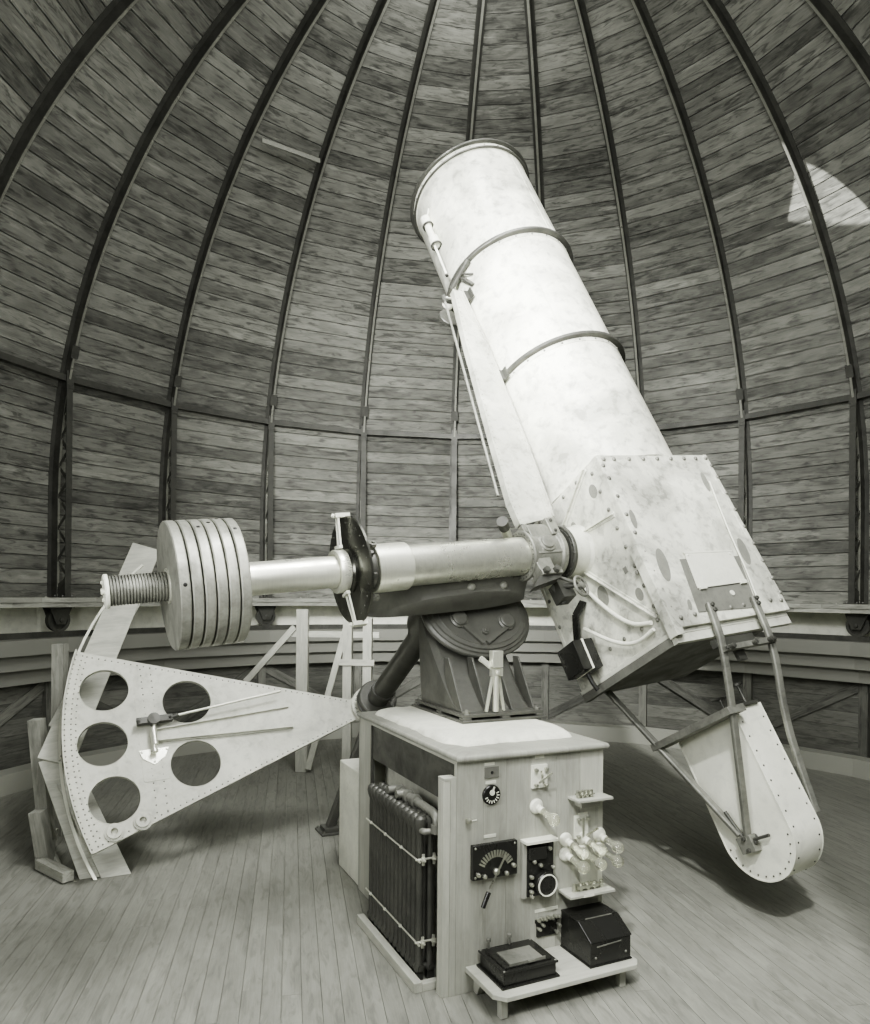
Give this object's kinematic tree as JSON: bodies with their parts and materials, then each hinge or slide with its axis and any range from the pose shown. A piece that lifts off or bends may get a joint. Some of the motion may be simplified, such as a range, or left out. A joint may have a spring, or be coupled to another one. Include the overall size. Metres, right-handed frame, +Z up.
{
  "type": "observatory dome",
  "caption": "Round timber-lined observatory with a turning ribbed dome, an open slit and its reflecting telescope on a polar mount.",
  "frame": {"origin": "on the dome's vertical axis at ground level, on the underside of the floor", "axes": "+Z up, +Y away from the slit side of the pictured view, +X to the right of that view"},
  "size_m": [9.8278, 9.9757, 7.8188],
  "materials": {
    "floor_boards": "worn planks",
    "drum_boards": "weathered painted boards",
    "dome_boards": "stained boards outside under painted sheet",
    "curb_timber": "built-up timber",
    "pale_timber": "bare timber",
    "cabinet_wood": "varnished panel wood",
    "concrete": "rendered pier",
    "iron": "painted structural iron",
    "dark_iron": "dark painted iron",
    "dark_casting": "enamelled casting",
    "steel": "turned steel",
    "pale_paint": "worn pale paint",
    "roof_sheet": "painted sheet",
    "black_lacquer": "black lacquer"
  },
  "bodies": {
    "building": {"floor": "floor_boards", "drum_wall_1": "drum_boards", "drum_wall_2": "drum_boards", "drum_wall_3": "drum_boards", "drum_wall_4": "drum_boards", "door": "drum_boards", "curb_front": "curb_timber", "curb_back": "curb_timber", "track_ring": "iron", "base_beam": "pale_timber", "pier": "concrete", "cabinet": "cabinet_wood", "cabinet_cap": "cabinet_wood", "pier_slab": "concrete", "radiator": "dark_iron", "low_shelf": "cabinet_wood", "relay_box_left": "black_lacquer", "relay_box_right": "black_lacquer", "rheostat": "black_lacquer", "meter": "black_lacquer", "pedestal": "dark_casting", "lower_bearing_stand": "dark_casting", "guide_arc": "pale_timber"},
    "dome": {"sill_ring": "curb_timber", "skirt": "pale_paint", "shell_panel_1": "dome_boards", "shell_panel_2": "dome_boards", "shell_panel_3": "dome_boards", "shell_panel_4": "dome_boards", "shell_panel_5": "dome_boards", "rib_frame_1": "iron", "rib_frame_2": "iron", "rib_frame_3": "iron", "rib_frame_4": "iron", "rib_frame_5": "iron", "slit_arch_right": "curb_timber", "slit_arch_left": "curb_timber", "slit_lintel": "curb_timber", "shutter_right": "roof_sheet", "shutter_left": "roof_sheet", "shutter_track_front": "iron", "shutter_track_crown": "iron"},
    "polar_axis": {"polar_shaft": "dark_casting", "cradle": "dark_casting", "declination_sleeve": "steel", "declination_housing": "dark_casting", "drive_sector": "pale_paint"},
    "telescope": {"declination_shaft": "steel", "declination_wheel": "dark_iron", "counterweights": "dark_iron", "tube_lower": "pale_paint", "tube_middle": "pale_paint", "tube_upper": "pale_paint", "mirror_box": "pale_paint", "side_beam": "pale_paint", "holder_frame": "dark_iron", "holder_case": "pale_paint"}
  },
  "joints": [
    {"name": "dome_turn", "type": "hinge", "parent": "building", "child": "dome", "pos_m": [0, 0, 1.9], "axis": [0, 0, 1], "continuous": true},
    {"name": "polar_turn", "type": "hinge", "parent": "building", "child": "polar_axis", "pos_m": [-0.238, -0.781, 2.2], "axis": [0.3544, -0.7601, 0.5446], "range_deg": [-12, 5]},
    {"name": "declination_turn", "type": "hinge", "parent": "polar_axis", "child": "telescope", "pos_m": [-0.238, -0.781, 2.2], "axis": [0.8715, 0.4796, 0.1022], "range_deg": [-60, 100]}
  ]
}
